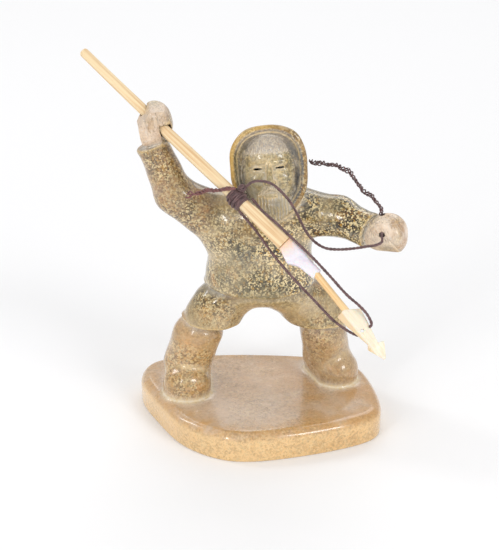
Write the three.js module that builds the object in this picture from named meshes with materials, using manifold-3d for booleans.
// A carved stone hunter on his base, with a wooden harpoon and a sinew line.
// Millimetres, +Z up. The hunter faces -Y, and the origin is under the middle of the base.
import * as THREE from "three";
import { mergeVertices } from "three/addons/utils/BufferGeometryUtils.js";
import Module from "manifold-3d";

// ---------------------------------------------------------------- driving dimensions

const TOUCHING_GAP = 0.3;

// Base plate: the outline seen from above, its thickness and its rounded top edge.
const BASE_OUTLINE = [
  [-17, -58.5],
  [21, -54],
  [68, -33],
  [74, -17],
  [60.5, 38],
  [41, 46.5],
  [-31, 50.5],
  [-68.5, 40],
  [-74.5, 20.5],
  [-61.5, -14.5],
  [-43.5, -43],
];
const BASE_THICKNESS = 18;
const BASE_EDGE_ROUND = 5;
const BASE_OUTLINE_POINTS = 44;
const BASE_EDGE_STEPS = 3;

// Torso under the parka, and the hem that stands out over the trousers.
const CHEST = { centre: [0, 2, 118], radii: [31, 23.5, 36] };
const SKIRT = { centre: [0, 2, 97], radii: [32.5, 25.5, 21] };
const HEM_HEIGHT = 89.4;
const HEM_SIDE_RISE = 0.02;

// Hips, legs and boots. The throwing side is -X and the line side is +X.
const PELVIS = { centre: [1.5, 6, 90], radii: [27, 19, 16] };
const THROWING_LEG = {
  hip: [-14.5, 5, 93],
  knee: [-29.6, 2, 65.5],
  hipRadius: 15.8,
  kneeRadius: 16.4,
  bootTop: [-37.4, 3, 57],
  ankle: [-44.6, 6, 34],
  bootTopRadius: 15,
  ankleRadius: 14.8,
  heel: [-44, 14, 25],
  toe: [-44.6, -4, 24],
  heelRadius: 13.5,
  toeRadius: 14.8,
  cuffHeight: 65,
};
const LINE_LEG = {
  hip: [14, 9, 88],
  knee: [38.2, 13, 61],
  hipRadius: 16.5,
  kneeRadius: 15.5,
  bootTop: [37.8, 15, 62],
  ankle: [41.7, 19, 34],
  bootTopRadius: 14.2,
  ankleRadius: 14.8,
  heel: [40.5, 28, 26],
  toe: [48, 13, 25],
  heelRadius: 13,
  toeRadius: 13.5,
  cuffHeight: 60,
};

// Arms and mitts.
const THROWING_ARM = {
  shoulder: [-21, 2, 127.2],
  elbow: [-50.6, 4, 145.8],
  cuff: [-63.2, 4, 177],
  shoulderRadius: 16,
  elbowRadius: 11.4,
  cuffRadius: 9.4,
};
const THROWING_MITT = {
  wrist: [-61.6, 4, 173],
  palm: [-61.4, 4, 189],
  wristRadius: 8,
  palmRadii: [9.6, 10.5, 12],
};
const LINE_ARM = {
  shoulder: [20, 0, 136],
  elbow: [46, -10, 136.8],
  cuff: [64, -24, 133.5],
  shoulderRadius: 16,
  elbowRadius: 11.4,
  cuffRadius: 10,
};
const LINE_MITT = {
  wrist: [64, -24, 133.5],
  palm: [73.5, -31, 134.5],
  wristRadius: 8.5,
  palmRadii: [10.5, 10, 11.5],
};

// Head: a tilted frame whose plane is the mouth of the hood.
const HEAD_CENTRE = [5, -17, 167];
const HEAD_TILT = THREE.MathUtils.degToRad(14);
const HEAD_ROLL = THREE.MathUtils.degToRad(-5);
const HOOD_BACK = { centre: [0, -3, -18], radii: [19, 23, 19] };
const HOOD_COLLAR = { centre: [0, -1, -5], radii: [21.3, 26.5, 12] };
const RIM_RADII = [19.3, 24.6];
const HOOD_SQUARENESS = 0.1;
const RIM_TUBE = 3.1;
const RIM_HALF_ANGLE = THREE.MathUtils.degToRad(140);
const HOLLOW_RADII = [17.4, 23, 7];
const FACE = { centre: [0, -2, -5], radii: [15, 23, 9] };
const BEARD = { centre: [0, -20, -2], radii: [10.5, 9, 7] };
const NOSE = { top: [0, 4, 3], tip: [0, -5.5, 5.5], topRadius: 1.6, tipRadius: 2.4 };

// Harpoon: the main line from the butt to the socket, then the foreshaft and head.
const BUTT = [-104, 32, 224.3];
const SOCKET_END = [31.5, -62, 122.6];
const HEAD_TIP = [68.9, -87.5, 82.9];
const BUTT_RADIUS = 2.7;
const ROD_RADIUS = 3.4;
const ROD_SIDES = 12;
const BUTT_ROUNDING = 1.4;
const FLAT_START = 0.7;
const FLAT_END = 0.866;
const FLAT_START_WIDTH = 6.4;
const FLAT_END_WIDTH = 9.2;
const FLAT_THICKNESS = 6.2;
const FLAT_BEVEL = 0.8;
// Each corner of the socket: how far across, and how far before its end. The first two are at its start.
const SOCKET_START_WIDTHS = [-5, 4.1];
const SOCKET_OUTLINE = [
  [7, 16.8],
  [4.7, 12.6],
  [3.8, 10],
  [3.1, 0],
  [-3.3, 0],
  [-3.5, 6.4],
  [-4.5, 14],
];
const SOCKET_THICKNESS = 5.2;
const FORESHAFT_START = 1;
const FORESHAFT_SHARE = 0.41;
// Each corner of the head: how far across, and what share of its length from its rear.
const HEAD_OUTLINE = [
  [-7.1, 0.146],
  [0.6, 0],
  [6.4, 0.02],
  [2.5, 0.66],
  [4.3, 0.725],
  [1, 1],
  [-1, 1],
  [-6.2, 0.772],
  [-2.7, 0.73],
  [-4.7, 0.475],
];
const HEAD_BEVEL = 0.6;
const LINE_HOLE_SHARE = 0.435;
const LASHING_START = 0.645;
const LASHING_END = 0.697;
const LASHING_WALL = 2;
const KNOT_CENTRE = [-10.5, -32.5, 163.3];
const KNOT_RADIUS = 2.4;
const FORESHAFT_RADIUS = 2;
const HEAD_THICKNESS = 4.6;
const LINE_HOLE_RADIUS = 1;

// Sinew.
const LINE_DIAMETER = 1.6;
const TAIL_DIAMETER = 2.4;
const CORD_SIDES = 8;
const CORD_STEP_DIAMETERS = 2.6;

// Grid of the carved surface: [from, to, step] bands along each axis.
const GRID_X = [
  [-78, -18, 5],
  [-18, 30, 2.6],
  [30, 90, 5],
];
const GRID_Y = [
  [-46, -30, 4],
  [-30, -4, 3],
  [-4, 46, 5.5],
];
const GRID_Z = [
  [3.9, 60, 5.1],
  [60, 69, 3],
  [69, 84, 5],
  [84, 93, 3],
  [93, 138, 5],
  [138, 198, 2.8],
  [198, 210, 4],
];

// Routes of the sinew, by the points it passes.
const STRAND_LEFT_ROUTE = [
  [-11.9, -36, 150.3],
  [-6, -39.5, 144.5],
  [-1.7, -42, 139.7],
  [8.1, -50, 128.4],
  [18.7, -58, 118.4],
  [29.8, -66, 109],
  [40.9, -73.7, 99.8],
  [47, -75.3, 95.5],
  [50.8, -74.9, 92.8],
  [54.2, -74.1, 91],
];
const STRAND_RIGHT_ROUTE = [
  [-4.5, -33.6, 156.9],
  [1, -39, 152],
  [8, -45, 147.7],
  [17.5, -51.5, 140.6],
  [28, -59, 132.9],
  [37.9, -66.5, 124.6],
  [47.8, -73.6, 115.6],
  [54.8, -76.6, 110.2],
  [59.2, -78.6, 105.6],
  [61.4, -80, 100.6],
];
const LINE_TO_HAND_ROUTE = [
  [-7.4, -34.5, 165.6],
  [-5.7, -35.2, 167.4],
  [-2.6, -35.5, 168.6],
  [1.9, -35, 168.2],
  [6.4, -34.2, 166.4],
  [10.9, -33.2, 162.1],
  [15.5, -32.7, 156.7],
  [19.6, -32.7, 150],
  [22.8, -33, 143.4],
  [26.5, -34, 136.4],
  [31.2, -35, 131.2],
  [36.9, -36.5, 128.2],
  [43.7, -38, 127.9],
  [53.2, -41, 129.8],
  [60.3, -44, 132.3],
  [65.5, -46.5, 134.3],
  [68.4, -45.5, 135.6],
  [68.7, -41, 138.3],
];
const TWISTED_TAIL_ROUTE = [
  [69.4, -26.8, 145.6],
  [68.4, -24.6, 148.8],
  [66.6, -22.2, 151.2],
  [63.1, -19, 153.6],
  [57, -13, 157.1],
  [54.1, -10, 161.5],
  [49.6, -7, 164.7],
  [45.1, -4, 166],
  [38.9, 0, 165.8],
  [32.9, 3, 165.5],
  [29, 7, 165.2],
];
const KNOT_TAIL_ROUTE = [
  [-14.6, -35.2, 164],
  [-17.2, -34.6, 164],
  [-23, -31, 161.5],
  [-29.9, -26.5, 159.8],
  [-34.6, -22.5, 156.7],
  [-42.3, -17, 153.1],
];
const MITT_HOLE_FROM = [68.4, -46, 135.3];
const MITT_HOLE_TO = [69.3, -24, 149];

// ---------------------------------------------------------------- plain vector helpers

const add = (a, b) => [a[0] + b[0], a[1] + b[1], a[2] + b[2]];
const sub = (a, b) => [a[0] - b[0], a[1] - b[1], a[2] - b[2]];
const scale = (a, s) => [a[0] * s, a[1] * s, a[2] * s];
const dot = (a, b) => a[0] * b[0] + a[1] * b[1] + a[2] * b[2];
const length = (a) => Math.hypot(a[0], a[1], a[2]);
const between = (a, b, t) => add(a, scale(sub(b, a), t));
const vector = (a) => new THREE.Vector3(...a);
const LINE_LENGTH = length(sub(SOCKET_END, BUTT));

// ---------------------------------------------------------------- carved surface as a distance field

const smoothMin = (a, b, k) => {
  const h = Math.max(k - Math.abs(a - b), 0) / k;
  return Math.min(a, b) - (h * h * k) / 4;
};
const smoothMax = (a, b, k) => -smoothMin(-a, -b, k);

function ellipsoid(p, centre, radii) {
  const q = sub(p, centre);
  const k0 = Math.hypot(q[0] / radii[0], q[1] / radii[1], q[2] / radii[2]);
  const k1 = Math.hypot(
    q[0] / radii[0] ** 2,
    q[1] / radii[1] ** 2,
    q[2] / radii[2] ** 2,
  );
  return k1 === 0 ? -Math.min(...radii) : (k0 * (k0 - 1)) / k1;
}

function taperedLimb(p, from, to, fromRadius, toRadius) {
  const axis = sub(to, from);
  const t = Math.min(Math.max(dot(sub(p, from), axis) / dot(axis, axis), 0), 1);
  return length(sub(p, between(from, to, t))) - (fromRadius + (toRadius - fromRadius) * t);
}

function parka(p) {
  const torso = smoothMin(
    ellipsoid(p, CHEST.centre, CHEST.radii),
    ellipsoid(p, SKIRT.centre, SKIRT.radii),
    8,
  );
  const hem = HEM_HEIGHT + HEM_SIDE_RISE * Math.abs(p[0]) - p[2];
  return smoothMax(torso, hem, 2);
}

function leg(p, part) {
  const thigh = taperedLimb(p, part.hip, part.knee, part.hipRadius, part.kneeRadius);
  const trousers = smoothMax(thigh, part.cuffHeight - p[2], 2.5);
  const shin = taperedLimb(p, part.bootTop, part.ankle, part.bootTopRadius, part.ankleRadius);
  const foot = taperedLimb(p, part.heel, part.toe, part.heelRadius, part.toeRadius);
  return [trousers, smoothMin(shin, foot, 5)];
}

function arm(p, part) {
  const upper = taperedLimb(p, part.shoulder, part.elbow, part.shoulderRadius, part.elbowRadius);
  const lower = taperedLimb(p, part.elbow, part.cuff, part.elbowRadius, part.cuffRadius);
  const axis = sub(part.cuff, part.elbow);
  const pastCuff = dot(sub(p, part.cuff), axis) / length(axis);
  return smoothMax(smoothMin(upper, lower, 4), pastCuff, 2);
}

function mitt(p, part) {
  const wrist = taperedLimb(p, part.wrist, part.palm, part.wristRadius, part.wristRadius);
  return smoothMin(wrist, ellipsoid(p, part.palm, part.palmRadii), 4);
}

// The head's own coordinates: across the face, up the face, and out of the hood.
const headUp = new THREE.Vector3(0, Math.sin(HEAD_TILT), Math.cos(HEAD_TILT));
const headOut = new THREE.Vector3(0, -Math.cos(HEAD_TILT), Math.sin(HEAD_TILT));
headUp.applyAxisAngle(headOut, -HEAD_ROLL);
const headAcross = new THREE.Vector3().crossVectors(headUp, headOut);
const HEAD_AXES = [headAcross.toArray(), headUp.toArray(), headOut.toArray()];
const intoHead = (p) => {
  const q = sub(p, HEAD_CENTRE);
  return HEAD_AXES.map((axis) => dot(q, axis));
};

// The hood is fuller at its two upper corners than an oval.
function squaredForHood([x, y, z]) {
  const turn = Math.atan2(x, Math.max(y, 0));
  const fuller = 1 + HOOD_SQUARENESS * Math.sin(2 * turn) ** 2;
  return [x / fuller, y / fuller, z];
}

function rim(q) {
  const angle = Math.atan2(q[0] / RIM_RADII[0], q[1] / RIM_RADII[1]);
  const held = Math.min(Math.max(angle, -RIM_HALF_ANGLE), RIM_HALF_ANGLE);
  const nearest = [RIM_RADII[0] * Math.sin(held), RIM_RADII[1] * Math.cos(held), 0];
  return length(sub(q, nearest)) - RIM_TUBE;
}

function head(p) {
  const q = intoHead(p);
  const h = squaredForHood(q);
  const back = ellipsoid(h, HOOD_BACK.centre, HOOD_BACK.radii);
  const collar = ellipsoid(h, HOOD_COLLAR.centre, HOOD_COLLAR.radii);
  let hood = smoothMin(back, collar, 8);
  hood = smoothMin(smoothMax(hood, h[2], 2), rim(h), 2);
  hood = smoothMax(hood, -ellipsoid(h, [0, 0, 0], HOLLOW_RADII), 2.5);
  const face = ellipsoid(q, FACE.centre, FACE.radii);
  const nose = taperedLimb(q, NOSE.top, NOSE.tip, NOSE.topRadius, NOSE.tipRadius);
  const beard = ellipsoid(q, BEARD.centre, BEARD.radii);
  return smoothMin(hood, smoothMin(smoothMin(face, nose, 1.5), beard, 3), 0.8);
}

function figure(p) {
  const [throwingTrousers, throwingBoot] = leg(p, THROWING_LEG);
  const [lineTrousers, lineBoot] = leg(p, LINE_LEG);
  const trousers = smoothMin(
    smoothMin(throwingTrousers, lineTrousers, 6),
    ellipsoid(p, PELVIS.centre, PELVIS.radii),
    8,
  );
  const boots = Math.min(throwingBoot, lineBoot);
  const sleeves = Math.min(arm(p, THROWING_ARM), arm(p, LINE_ARM));
  const coat = smoothMin(smoothMin(parka(p), sleeves, 9), head(p), 3);
  const mitts = Math.min(mitt(p, THROWING_MITT), mitt(p, LINE_MITT));
  return smoothMin(smoothMin(coat, trousers, 1.2), smoothMin(boots, mitts, 1), 1.2);
}

// ---------------------------------------------------------------- surface from the field

function gridLines(bands) {
  const lines = [bands[0][0]];
  for (const [from, to, step] of bands) {
    const count = Math.round((to - from) / step);
    for (let i = 1; i <= count; i++) lines.push(from + ((to - from) * i) / count);
  }
  return lines;
}

// Corners of a cell are numbered by their x, y and z bits, and its edges by two corners.
const CELL_EDGES = [];
for (let axis = 0; axis < 3; axis++)
  for (let corner = 0; corner < 8; corner++)
    if (!(corner & (1 << axis))) CELL_EDGES.push([corner, corner | (1 << axis), axis]);
const CELL_FACES = [];
for (let axis = 0; axis < 3; axis++)
  for (const side of [0, 1]) {
    const [b, c] = [0, 1, 2].filter((other) => other !== axis);
    const start = side << axis;
    CELL_FACES.push([start, start | (1 << b), start | (1 << b) | (1 << c), start | (1 << c)]);
  }
const edgeOf = (a, b) => CELL_EDGES.findIndex((e) => e[0] === Math.min(a, b) && e[1] === Math.max(a, b));

// Sheets of surface that pass through a cell: for each edge, the number of its sheet, or -1.
function cellSheets(inside) {
  const sheet = CELL_EDGES.map(([a, b], i) => (inside[a] !== inside[b] ? i : -1));
  const merge = (a, b) => {
    const [keep, drop] = [sheet[a], sheet[b]];
    sheet.forEach((s, i) => {
      if (s === drop) sheet[i] = keep;
    });
  };
  for (const corners of CELL_FACES) {
    const crossed = corners
      .map((corner, i) => edgeOf(corner, corners[(i + 1) % 4]))
      .map((edge) => (sheet[edge] >= 0 ? edge : -1));
    const used = crossed.filter((edge) => edge >= 0);
    if (used.length === 2) merge(used[0], used[1]);
    if (used.length === 4)
      corners.forEach((corner, i) => {
        if (inside[corner]) merge(crossed[(i + 3) % 4], crossed[i]);
      });
  }
  return sheet;
}

function ontoSurface(field, start, reach) {
  const STEP = 0.05;
  let point = start;
  for (let round = 0; round < 4; round++) {
    const value = field(point);
    const slope = [0, 1, 2].map((axis) => {
      const ahead = [...point];
      ahead[axis] += STEP;
      return (field(ahead) - value) / STEP;
    });
    const steepness = Math.max(dot(slope, slope), 0.2);
    point = sub(point, scale(slope, value / steepness));
  }
  return point.map((v, i) => Math.min(Math.max(v, start[i] - reach[i]), start[i] + reach[i]));
}

// A closed mesh of the zero level of the field, with one vertex per sheet in each crossed cell.
function carve(field, bands) {
  const lines = bands.map(gridLines);
  const [nx, ny, nz] = lines.map((l) => l.length);
  const at = (i, j, k) => (i * ny + j) * nz + k;
  const values = new Float64Array(nx * ny * nz);
  for (let i = 0; i < nx; i++)
    for (let j = 0; j < ny; j++)
      for (let k = 0; k < nz; k++)
        values[at(i, j, k)] = field([lines[0][i], lines[1][j], lines[2][k]]);
  const positions = [];
  const cells = new Map();
  for (let i = 0; i < nx - 1; i++)
    for (let j = 0; j < ny - 1; j++)
      for (let k = 0; k < nz - 1; k++) {
        const corner = [...Array(8).keys()].map((c) => [i + (c & 1), j + ((c >> 1) & 1), k + (c >> 2)]);
        const value = corner.map((c) => values[at(...c)]);
        const inside = value.map((v) => v < 0);
        if (inside.every(Boolean) || !inside.some(Boolean)) continue;
        const sheet = cellSheets(inside);
        const sums = new Map();
        CELL_EDGES.forEach(([a, b], edge) => {
          if (sheet[edge] < 0) return;
          const t = value[a] / (value[a] - value[b]);
          const place = (c) => c.map((index, axis) => lines[axis][index]);
          const point = between(place(corner[a]), place(corner[b]), t);
          const sum = sums.get(sheet[edge]) ?? { total: [0, 0, 0], count: 0 };
          sum.total = add(sum.total, point);
          sum.count += 1;
          sums.set(sheet[edge], sum);
        });
        const reach = [i, j, k].map((n, axis) => (lines[axis][n + 1] - lines[axis][n]) * 0.35);
        const vertexOf = new Map();
        for (const [name, sum] of sums) {
          vertexOf.set(name, positions.length / 3);
          positions.push(...ontoSurface(field, scale(sum.total, 1 / sum.count), reach));
        }
        cells.set(at(i, j, k), sheet.map((name) => (name < 0 ? -1 : vertexOf.get(name))));
      }
  const faces = [];
  const corners = (v) => [positions[3 * v], positions[3 * v + 1], positions[3 * v + 2]];
  for (let i = 1; i < nx - 1; i++)
    for (let j = 1; j < ny - 1; j++)
      for (let k = 1; k < nz - 1; k++)
        for (let axis = 0; axis < 3; axis++) {
          const next = [i, j, k];
          next[axis] += 1;
          const from = values[at(i, j, k)];
          const to = values[at(...next)];
          if (from < 0 === to < 0) continue;
          const [b, c] = [(axis + 1) % 3, (axis + 2) % 3];
          const ring = [
            [0, 0],
            [1, 0],
            [1, 1],
            [0, 1],
          ].map(([back, side]) => {
            const cell = [i, j, k];
            cell[b] -= back;
            cell[c] -= side;
            const edge = CELL_EDGES.findIndex(
              (e) => e[2] === axis && ((e[0] >> b) & 1) === back && ((e[0] >> c) & 1) === side,
            );
            return cells.get(at(...cell))[edge];
          });
          if (from >= 0) ring.reverse();
          const first = length(sub(corners(ring[0]), corners(ring[2])));
          const second = length(sub(corners(ring[1]), corners(ring[3])));
          if (first <= second) faces.push(ring[0], ring[1], ring[2], ring[0], ring[2], ring[3]);
          else faces.push(ring[1], ring[2], ring[3], ring[1], ring[3], ring[0]);
        }
  return solid(new Float32Array(positions), new Uint32Array(faces));
}

// ---------------------------------------------------------------- solids joined and cut

const wasm = await Module();
wasm.setup();

function solid(vertProperties, triVerts) {
  return new wasm.Manifold(new wasm.Mesh({ numProp: 3, vertProperties, triVerts }));
}

function solidOf(geometry) {
  const bare = geometry.index ? geometry.toNonIndexed() : geometry.clone();
  bare.deleteAttribute("normal");
  bare.deleteAttribute("uv");
  const merged = mergeVertices(bare, 1e-3);
  return solid(merged.attributes.position.array, new Uint32Array(merged.index.array));
}

function geometryOf(body) {
  const mesh = body.getMesh();
  const geometry = new THREE.BufferGeometry();
  geometry.setAttribute("position", new THREE.BufferAttribute(mesh.vertProperties, 3));
  geometry.setIndex(new THREE.BufferAttribute(mesh.triVerts, 1));
  geometry.computeVertexNormals();
  return geometry;
}

// ---------------------------------------------------------------- geometry of the pieces

function rodBetween(from, to, fromRadius, toRadius, sides) {
  const span = vector(to).sub(vector(from));
  const rod = new THREE.CylinderGeometry(toRadius, fromRadius, span.length(), sides);
  const turn = new THREE.Quaternion().setFromUnitVectors(new THREE.Vector3(0, 1, 0), span.normalize());
  rod.applyQuaternion(turn);
  const middle = between(from, to, 0.5);
  return rod.translate(...middle);
}

// A frame whose Y runs along the harpoon and whose Z faces up and forward, broad side out.
const FLAT_FACING = new THREE.Vector3(0, -Math.cos(HEAD_TILT), 0.5).normalize();

function placeAlong(geometry, from, to) {
  const along = vector(to).sub(vector(from)).normalize();
  const across = new THREE.Vector3().crossVectors(along, FLAT_FACING).normalize();
  const out = new THREE.Vector3().crossVectors(across, along);
  const frame = new THREE.Matrix4().makeBasis(across, along, out).setPosition(...from);
  return geometry.applyMatrix4(frame);
}

// A flat bar of the outline given, thick through its middle, with bevelled edges.
function flatBar(outline, thickness, bevel) {
  const shape = new THREE.Shape(outline.map(([x, y]) => new THREE.Vector2(x, y)));
  const bar = new THREE.ExtrudeGeometry(shape, {
    depth: thickness - 2 * bevel,
    bevelEnabled: true,
    bevelThickness: bevel,
    bevelSize: bevel,
    bevelOffset: -bevel,
    bevelSegments: 1,
    steps: 1,
  });
  return bar.translate(0, 0, bevel - thickness / 2);
}

function baseGeometry() {
  const outline = new THREE.CatmullRomCurve3(
    BASE_OUTLINE.map(([x, y]) => new THREE.Vector3(x, y, 0)),
    true,
    "centripetal",
  );
  const rings = [[0, 0]];
  for (let i = 0; i <= BASE_EDGE_STEPS; i++) {
    const turn = (Math.PI / 2) * (i / BASE_EDGE_STEPS);
    rings.push([
      BASE_EDGE_ROUND * (1 - Math.cos(turn)),
      BASE_THICKNESS - BASE_EDGE_ROUND * (1 - Math.sin(turn)),
    ]);
  }
  const around = outline.getSpacedPoints(BASE_OUTLINE_POINTS).slice(0, -1);
  const count = around.length;
  const positions = [];
  for (const [inset, height] of rings)
    around.forEach((point, i) => {
      const ahead = around[(i + 1) % count];
      const behind = around[(i + count - 1) % count];
      const side = ahead.clone().sub(behind).normalize();
      positions.push(point.x - side.y * inset, point.y + side.x * inset, height);
    });
  const faces = [];
  for (let ring = 0; ring < rings.length - 1; ring++)
    for (let i = 0; i < count; i++) {
      const j = (i + 1) % count;
      const [a, b] = [ring * count + i, ring * count + j];
      faces.push(a, b, b + count, a, b + count, a + count);
    }
  const cap = (ring, up) => {
    const loop = around.map((_, i) => {
      const start = 3 * (ring * count + i);
      return new THREE.Vector2(positions[start], positions[start + 1]);
    });
    for (const [a, b, c] of THREE.ShapeUtils.triangulateShape(loop, [])) {
      const face = [a, b, c].map((v) => v + ring * count);
      faces.push(...(up ? face : face.reverse()));
    }
  };
  cap(0, false);
  cap(rings.length - 1, true);
  return solid(new Float32Array(positions), new Uint32Array(faces));
}

function stoneGeometry() {
  const shaftHole = rodBetween(
    between(BUTT, SOCKET_END, 0.22),
    between(BUTT, SOCKET_END, 0.42),
    ROD_RADIUS + TOUCHING_GAP,
    ROD_RADIUS + TOUCHING_GAP,
    ROD_SIDES,
  );
  const lineHole = rodBetween(
    MITT_HOLE_FROM,
    MITT_HOLE_TO,
    TAIL_DIAMETER / 2 + TOUCHING_GAP,
    TAIL_DIAMETER / 2 + TOUCHING_GAP,
    CORD_SIDES,
  );
  const whole = carve(figure, [GRID_X, GRID_Y, GRID_Z]).add(baseGeometry());
  return geometryOf(whole.subtract(solidOf(shaftHole)).subtract(solidOf(lineHole)));
}

function shaftGeometry() {
  const profile = [
    [0, 0],
    [BUTT_RADIUS - BUTT_ROUNDING, 0],
    [BUTT_RADIUS - BUTT_ROUNDING * 0.3, BUTT_ROUNDING * 0.4],
    [BUTT_RADIUS, BUTT_ROUNDING],
    [ROD_RADIUS, LINE_LENGTH * 0.5],
    [ROD_RADIUS, LINE_LENGTH * (FLAT_START + 0.01)],
    [0, LINE_LENGTH * (FLAT_START + 0.01)],
  ];
  const rod = new THREE.LatheGeometry(
    profile.map(([radius, along]) => new THREE.Vector2(radius, along)),
    ROD_SIDES,
  );
  const start = LINE_LENGTH * FLAT_START;
  const end = LINE_LENGTH * FLAT_END;
  const flat = flatBar(
    [
      [-FLAT_START_WIDTH / 2, start],
      [FLAT_START_WIDTH / 2, start],
      [FLAT_END_WIDTH / 2, end],
      [-FLAT_END_WIDTH / 2, end],
    ],
    FLAT_THICKNESS,
    FLAT_BEVEL,
  );
  const joined = solidOf(rod).add(solidOf(flat));
  return placeAlong(geometryOf(joined), BUTT, SOCKET_END);
}

function socketGeometry() {
  const start = LINE_LENGTH * FLAT_END + TOUCHING_GAP;
  const outline = [
    ...SOCKET_START_WIDTHS.map((across) => [across, start]),
    ...SOCKET_OUTLINE.map(([across, before]) => [across, LINE_LENGTH - before]),
  ];
  return placeAlong(flatBar(outline, SOCKET_THICKNESS, FLAT_BEVEL), BUTT, SOCKET_END);
}

function foreshaftGeometry() {
  const full = length(sub(HEAD_TIP, SOCKET_END));
  const from = between(SOCKET_END, HEAD_TIP, FORESHAFT_START / full);
  const to = between(SOCKET_END, HEAD_TIP, FORESHAFT_SHARE - TOUCHING_GAP / full);
  return rodBetween(from, to, FORESHAFT_RADIUS, FORESHAFT_RADIUS, CORD_SIDES);
}

function harpoonHeadGeometry() {
  const full = length(sub(HEAD_TIP, SOCKET_END));
  const rear = full * FORESHAFT_SHARE;
  const span = full - rear;
  const outline = HEAD_OUTLINE.map(([across, share]) => [across, rear + span * share]);
  const blade = flatBar(outline, HEAD_THICKNESS, HEAD_BEVEL);
  const hole = new THREE.CylinderGeometry(
    LINE_HOLE_RADIUS,
    LINE_HOLE_RADIUS,
    2 * HEAD_THICKNESS,
    CORD_SIDES,
  );
  hole.rotateX(Math.PI / 2).translate(0, rear + span * LINE_HOLE_SHARE, 0);
  const drilled = solidOf(blade).subtract(solidOf(hole));
  return placeAlong(geometryOf(drilled), SOCKET_END, HEAD_TIP);
}

function lashingGeometry() {
  const inner = ROD_RADIUS + TOUCHING_GAP;
  const outer = inner + LASHING_WALL;
  const from = LINE_LENGTH * LASHING_START;
  const to = LINE_LENGTH * LASHING_END;
  const profile = [
    [inner, from],
    [outer - 0.5, from],
    [outer, from + 1],
    [outer, to - 1],
    [outer - 0.5, to],
    [inner, to],
    [inner, from],
  ];
  const ring = new THREE.LatheGeometry(
    profile.map(([radius, along]) => new THREE.Vector2(radius, along)),
    ROD_SIDES,
  );
  const knot = new THREE.IcosahedronGeometry(KNOT_RADIUS, 1).translate(...KNOT_CENTRE);
  const wrap = solidOf(placeAlong(ring, BUTT, SOCKET_END));
  return geometryOf(wrap.add(solidOf(knot)));
}

function cordGeometry(route, diameter) {
  const path = new THREE.CatmullRomCurve3(route.map(vector), false, "centripetal");
  const section = new THREE.Shape();
  section.absarc(0, 0, diameter / 2, 0, 2 * Math.PI);
  const steps = Math.round(path.getLength() / (CORD_STEP_DIAMETERS * diameter));
  return new THREE.ExtrudeGeometry(section, {
    steps,
    curveSegments: CORD_SIDES / 2,
    bevelEnabled: false,
    extrudePath: path,
  });
}

// ---------------------------------------------------------------- scene graph

const STONE = { color: 0x9a8a6c, roughness: 0.28, metalness: 0 };
const PALE_WOOD = { color: 0xe6cf9c, roughness: 0.55, metalness: 0 };
const ORANGE_WOOD = { color: 0xdfae62, roughness: 0.5, metalness: 0 };
const BONE = { color: 0xe6dcda, roughness: 0.35, metalness: 0 };
const IVORY = { color: 0xede3bd, roughness: 0.4, metalness: 0 };
const SINEW = { color: 0x4d3a3c, roughness: 0.6, metalness: 0 };

function piece(name, geometry, finish) {
  const mesh = new THREE.Mesh(geometry, new THREE.MeshStandardMaterial(finish));
  mesh.name = name;
  return mesh;
}

const harpoon = new THREE.Group();
harpoon.add(
  piece("harpoon_shaft", shaftGeometry(), PALE_WOOD),
  piece("harpoon_socket", socketGeometry(), BONE),
  piece("foreshaft", foreshaftGeometry(), ORANGE_WOOD),
  piece("harpoon_head", harpoonHeadGeometry(), IVORY),
  piece("shaft_lashing", lashingGeometry(), SINEW),
);

const sinew = new THREE.Group();
sinew.add(
  piece("line_strand_left", cordGeometry(STRAND_LEFT_ROUTE, LINE_DIAMETER), SINEW),
  piece("line_strand_right", cordGeometry(STRAND_RIGHT_ROUTE, LINE_DIAMETER), SINEW),
  piece("line_to_hand", cordGeometry(LINE_TO_HAND_ROUTE, LINE_DIAMETER), SINEW),
  piece("twisted_tail", cordGeometry(TWISTED_TAIL_ROUTE, TAIL_DIAMETER), SINEW),
  piece("knot_tail", cordGeometry(KNOT_TAIL_ROUTE, TAIL_DIAMETER), SINEW),
);

const hunter = new THREE.Group();
hunter.add(piece("soapstone_figure", stoneGeometry(), STONE), harpoon, sinew);

export default hunter;
